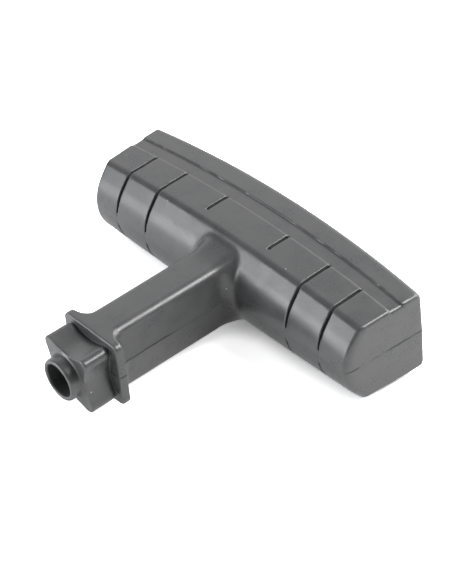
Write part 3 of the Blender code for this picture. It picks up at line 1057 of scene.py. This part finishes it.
dust_group, dust_in, dust_out = new_group(
    "dust_specks",
    [("Vector", "NodeSocketVector", None), ("Spacing", "NodeSocketFloat", 0.003),
     ("Speck Size", "NodeSocketFloat", 0.0003), ("Share", "NodeSocketFloat", 0.3)],
    [("Specks", "NodeSocketFloat")])
cells = add_node(dust_group, "ShaderNodeTexVoronoi",
                 {"Vector": dust_in.outputs["Vector"],
                  "Scale": calc(dust_group, "DIVIDE", 1.0, dust_in.outputs["Spacing"])})
draws = add_node(dust_group, "ShaderNodeSeparateColor", {"Color": cells.outputs["Color"]})
distance = calc(dust_group, "MULTIPLY", cells.outputs["Distance"], dust_in.outputs["Spacing"])
reach = calc(dust_group, "MULTIPLY", dust_in.outputs["Speck Size"],
             calc(dust_group, "MULTIPLY_ADD", draws.outputs["Green"], 1 - LEAST_SPECK, LEAST_SPECK))
speck = rise(dust_group, distance, reach, calc(dust_group, "MULTIPLY", reach, SPECK_CORE))
present = calc(dust_group, "LESS_THAN", draws.outputs["Red"], dust_in.outputs["Share"])
dust_group.links.new(calc(dust_group, "MULTIPLY", speck, present), dust_out.inputs["Specks"])
print("dust group:", len(dust_group.nodes), "nodes")

# %% [markdown]
# ## Rubber
#
# The rubber is a charcoal black with a satin skin. Its own colour is very dark, and
# what makes it look grey is the sheen of the light on its grain. So the colour stays
# low, and most of the work is done by the roughness and the bump. Ridges are painted a
# little paler, as wear and as a painted highlight. Grooves get painted shade and are
# duller, and specks of dust are matt.
#
# The parting line ends at the flange, because none is seen on the nose. On the rear
# half of the stem, where the fingers close, it is nearly rubbed off.

# %% Start the rubber
IOR = 1.62

rubber = bpy.data.materials.new("charcoal_rubber")
rubber.use_nodes = True
tree = rubber.node_tree
shader = tree.nodes["Principled BSDF"]
shader.inputs["IOR"].default_value = IOR
coordinates = add_node(tree, "ShaderNodeTexCoord", {})
here = coordinates.outputs["Object"]
along = add_node(tree, "ShaderNodeSeparateXYZ", {"Vector": here}).outputs["Y"]
facing = add_node(tree, "ShaderNodeSeparateXYZ", {"Vector": coordinates.outputs["Normal"]})
sideways_facing = calc(tree, "ABSOLUTE", facing.outputs["X"])
sharpness = add_node(tree, "ShaderNodeAttribute", {}, attribute_name="sharpness").outputs["Fac"]
print("rubber started with", len(tree.nodes), "nodes")

# %% Place the patterns
PARTING_HEIGHT = (low[2] + high[2]) / 2
NOSE_CAVITY_Y = (-0.0290, -0.0283)
RUBBED_FROM_Y = (-0.010, -0.005)
RUBBED_TO_Y = (0.011, 0.014)
RUBBED_SHARE = 0.85
SHADED_GROOVE_SHARPNESS = (-0.4, -1.1)


def place_group(tree, group, inputs):
    """Place a node group in a material and feed it."""
    return add_node(tree, "ShaderNodeGroup", inputs, node_tree=group).outputs


grain = place_group(tree, grain_group, {"Vector": here, "Grain Size": 0.0003, "Wave Size": 0.006})
line = place_group(tree, line_group, {
    "Vector": here, "Height": PARTING_HEIGHT, "Half Width": 0.00038, "Break Size": 0.012,
    "Sideways": sideways_facing})["Line"]
line = calc(tree, "MULTIPLY", line, rise(tree, along, *NOSE_CAVITY_Y))
rubbed = calc(tree, "SUBTRACT", rise(tree, along, *RUBBED_FROM_Y), rise(tree, along, *RUBBED_TO_Y))
line = calc(tree, "MULTIPLY", line, calc(tree, "MULTIPLY_ADD", rubbed, -RUBBED_SHARE, 1.0))
# The groove mask marks where shade is painted into the colour. It also makes the rubber rougher
# there.
groove = rise(tree, sharpness, *SHADED_GROOVE_SHARPNESS)
# Wear and a painted highlight, both on the ridges.
wear_and_highlight = place_group(tree, wear_and_highlight_group, {
    "Vector": here, "Sharpness": sharpness, "Start": 0.35, "Full": 1.3,
    "Patch Size": 0.003})["Wear And Highlight"]
specks = place_group(tree, dust_group, {
    "Vector": here, "Spacing": 0.0035, "Speck Size": 0.00035, "Share": 0.16})["Specks"]
print("patterns placed:", len(tree.nodes), "nodes")

# %% Colour the rubber
CHARCOAL = (0.060, 0.061, 0.063, 1)
PALE_CHARCOAL = (0.070, 0.071, 0.072, 1)
# Paler colour of the ridges: wear and a painted highlight.
WORN_AND_HIGHLIT = (0.13, 0.13, 0.128, 1)
# Painted shade for the grooves and inner corners.
GROOVE_PAINTED_SHADE = (0.015, 0.015, 0.016, 1)
PARTING_DARK = (0.006, 0.006, 0.007, 1)
DUST = (0.42, 0.41, 0.39, 1)
WEAR_AND_HIGHLIGHT_SHARE = 0.6
GROOVE_SHADE_SHARE = 0.6
WAVE_RANGE = (0.3, 0.7)


def tint(tree, amount, under, over):
    """Lay one colour over another by an amount."""
    mix = add_node(tree, "ShaderNodeMix", {}, data_type="RGBA")
    for socket, value in ((mix.inputs[0], amount), (mix.inputs[6], under), (mix.inputs[7], over)):
        if isinstance(value, bpy.types.NodeSocket):
            tree.links.new(value, socket)
        else:
            socket.default_value = value
    return mix.outputs[2]


colour = tint(tree, rise(tree, grain["Waves"], *WAVE_RANGE), CHARCOAL, PALE_CHARCOAL)
# Ridges painted paler: wear, and a painted highlight.
colour = tint(tree, calc(tree, "MULTIPLY", wear_and_highlight, WEAR_AND_HIGHLIGHT_SHARE), colour, WORN_AND_HIGHLIT)
# Painted shade: the grooves and inner corners are darkened in the colour.
colour = tint(tree, calc(tree, "MULTIPLY", groove, GROOVE_SHADE_SHARE), colour, GROOVE_PAINTED_SHADE)
colour = tint(tree, line, colour, PARTING_DARK)
colour = tint(tree, specks, colour, DUST)
tree.links.new(colour, shader.inputs["Base Color"])
print("coloured:", len(tree.nodes), "nodes")

# %% Give it its sheen and relief
SATIN = (0.27, 0.39)
GRAIN_RANGE = (0.25, 0.75)
DRIFT = 0.03
ROUGHER = {"specks": (specks, 0.4), "grooves": (groove, 0.35), "line": (line, 0.4)}
WAVE_HEIGHT = 4.0
LINE_DEPTH = 2.0
BUMP_STRENGTH = 0.35
BUMP_DISTANCE = 0.00002

roughness = rise(tree, grain["Grain"], *GRAIN_RANGE, *SATIN)
roughness = calc(tree, "ADD", roughness, rise(tree, grain["Waves"], *WAVE_RANGE, -DRIFT, DRIFT))
for mask, extra in ROUGHER.values():
    roughness = calc(tree, "ADD", roughness, calc(tree, "MULTIPLY", mask, extra))
tree.links.new(roughness, shader.inputs["Roughness"])

height = calc(tree, "MULTIPLY_ADD", grain["Waves"], WAVE_HEIGHT, grain["Grain"])
height = calc(tree, "SUBTRACT", height, calc(tree, "MULTIPLY", line, LINE_DEPTH))
bump = add_node(tree, "ShaderNodeBump",
                {"Height": height, "Strength": BUMP_STRENGTH, "Distance": BUMP_DISTANCE})
tree.links.new(bump.outputs["Normal"], shader.inputs["Normal"])
handle.data.materials.clear()
handle.data.materials.append(rubber)
print("rubber:", len(tree.nodes), "nodes, rougher at", ", ".join(ROUGHER))

# %% [markdown]
# ## Floor
#
# A seller's photograph is taken on white paper that fills the frame. Lamps strong
# enough to burn the paper out would burn the object too. So the paper is lit plainly,
# and only the camera sees it exposed more strongly and lifted. Open paper then turns
# white. Near the handle the lift fades with ambient occlusion, which paints a contact
# shadow over the real one. The sheen sees a little more of the paper than the light on
# it gives.

# %% Lay the white paper
FLOOR_SIZE = 4.0
PAPER = (0.9, 0.9, 0.9, 1)

bpy.ops.object.select_all(action="DESELECT")
bpy.ops.mesh.primitive_plane_add(size=FLOOR_SIZE, location=(0, 0, 0))
floor = bpy.context.object
floor.name = "studio_floor"
paper = bpy.data.materials.new("white_paper")
paper.use_nodes = True
tree = paper.node_tree
paper_shader = tree.nodes["Principled BSDF"]
paper_shader.inputs["Base Color"].default_value = PAPER
paper_shader.inputs["Roughness"].default_value = 0.9
paper_shader.inputs["Specular IOR Level"].default_value = 0.2
floor.data.materials.append(paper)
print("floor:", tuple(round(v, 2) for v in floor.dimensions), "m")

# %% Expose the paper for the camera
PAPER_GLOW = 0.34
PAPER_EXPOSURE = 2.0
PAPER_LIFT = 0.74
# How far the painted contact shadow reaches from the handle.
PAINTED_SHADOW_REACH = 0.008
OPEN_PAPER = 0.6


def white_light(strength):
    """White light of a strength, from the paper itself."""
    return add_node(tree, "ShaderNodeEmission", {"Color": (1, 1, 1, 1), "Strength": strength})


def add_up(first, second):
    """Two shaders added up."""
    return add_node(tree, "ShaderNodeAddShader", {0: first.outputs[0], 1: second.outputs[0]})


rays = add_node(tree, "ShaderNodeLightPath", {}).outputs
plain = add_up(paper_shader, white_light(calc(tree, "MULTIPLY", rays["Is Glossy Ray"], PAPER_GLOW)))
# Painted shadow: ambient occlusion takes the lift away near the handle.
painted_contact_shadow = add_node(tree, "ShaderNodeAmbientOcclusion", {"Distance": PAINTED_SHADOW_REACH}, samples=16)
lift_with_painted_shadow = calc(tree, "MULTIPLY", rise(tree, painted_contact_shadow.outputs["AO"], 0.0, OPEN_PAPER), PAPER_LIFT)
exposed = add_node(tree, "ShaderNodeBsdfDiffuse", {"Color": (*[PAPER_EXPOSURE] * 3, 1)})
exposed = add_up(exposed, white_light(lift_with_painted_shadow))
seen = add_node(tree, "ShaderNodeMixShader",
                {0: rays["Is Camera Ray"], 1: plain.outputs[0], 2: exposed.outputs[0]})
tree.links.new(seen.outputs[0], tree.nodes["Material Output"].inputs["Surface"])
print("paper:", len(tree.nodes), "nodes")

# %% [markdown]
# ## Light
#
# The sheen in the photograph tells where the light was. The slope of the grip shines
# from a wide, low box at the front left. The upper edges that face right shine from
# two boxes on that side, a wide one towards the back and a small, high one. The tops
# mirror a bright wall opposite the camera. A dark band along the crease shows that the
# ceiling was dark, and the dark rounding of the right end that the room behind the
# camera was dark too. So the world is a sweep that is bright low down, dim overhead
# and behind the camera, and bright on the far side. The camera itself sees only white.

# %% Light the room
SWEEP = 1.0
CEILING = 0.2
CEILING_FADE = (0.45, 0.28)
FAR_WALL = 1.15
FAR_WALL_FADE = (-0.45, -0.8)
BEHIND_CAMERA = 0.12
BEHIND_CAMERA_FADE = (0.1, 0.6)
towards_camera = Vector((camera.location.x, camera.location.y, 0)).normalized()

world = bpy.data.worlds.new("studio_world")
world.use_nodes = True
bpy.context.scene.world = world
tree = world.node_tree
background = tree.nodes["Background"].inputs
background["Color"].default_value = (1, 1, 1, 1)
direction = add_node(tree, "ShaderNodeTexCoord", {}).outputs["Generated"]
up = add_node(tree, "ShaderNodeSeparateXYZ", {"Vector": direction}).outputs["Z"]
towards = add_node(tree, "ShaderNodeVectorMath", {0: direction, 1: towards_camera},
                   operation="DOT_PRODUCT").outputs["Value"]
room = calc(tree, "MULTIPLY", rise(tree, up, *CEILING_FADE, CEILING, SWEEP),
            rise(tree, towards, *BEHIND_CAMERA_FADE, 1.0, BEHIND_CAMERA))
room = calc(tree, "MAXIMUM", room, rise(tree, towards, *FAR_WALL_FADE, 0.0, FAR_WALL))
camera_ray = add_node(tree, "ShaderNodeLightPath", {}).outputs["Is Camera Ray"]
tree.links.new(calc(tree, "MAXIMUM", room, camera_ray), background["Strength"])
print("world:", len(tree.nodes), "nodes")

# %% Stand the soft boxes
BOX_DISTANCE = 1.0


def soft_box(name, azimuth, elevation, width, height, radiance, colour):
    """A soft box that stands in a direction from the handle and is turned to it."""
    azimuth, elevation = radians(azimuth), radians(elevation)
    data = bpy.data.lights.new(name, "AREA")
    data.shape = "RECTANGLE"
    data.size = width
    data.size_y = height
    data.energy = radiance * width * height * pi
    data.color = colour
    towards = Vector((cos(azimuth) * cos(elevation), sin(azimuth) * cos(elevation), sin(elevation)))
    lamp = bpy.data.objects.new(name, data)
    bpy.context.scene.collection.objects.link(lamp)
    lamp.location = towards * BOX_DISTANCE + Vector((0, 0, 0.01))
    lamp.rotation_euler = towards.to_track_quat("Z", "Y").to_euler()
    lamp.visible_camera = False
    print(name, "at", tuple(round(v, 2) for v in lamp.location), round(data.energy, 1), "W")


soft_box("front_box", 246, 12, 0.9, 0.5, 6.2, (0.96, 0.98, 1.0))
soft_box("back_box", 82, 28, 0.9, 0.9, 5.0, (1.0, 1.0, 1.0))
soft_box("right_box", 44, 47, 0.4, 0.5, 12.0, (1.0, 1.0, 1.0))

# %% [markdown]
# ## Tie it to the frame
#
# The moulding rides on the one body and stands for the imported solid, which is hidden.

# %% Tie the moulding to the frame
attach(handle, "root")
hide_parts("starter_handle")
bpy.context.scene.view_settings.view_transform = "Standard"
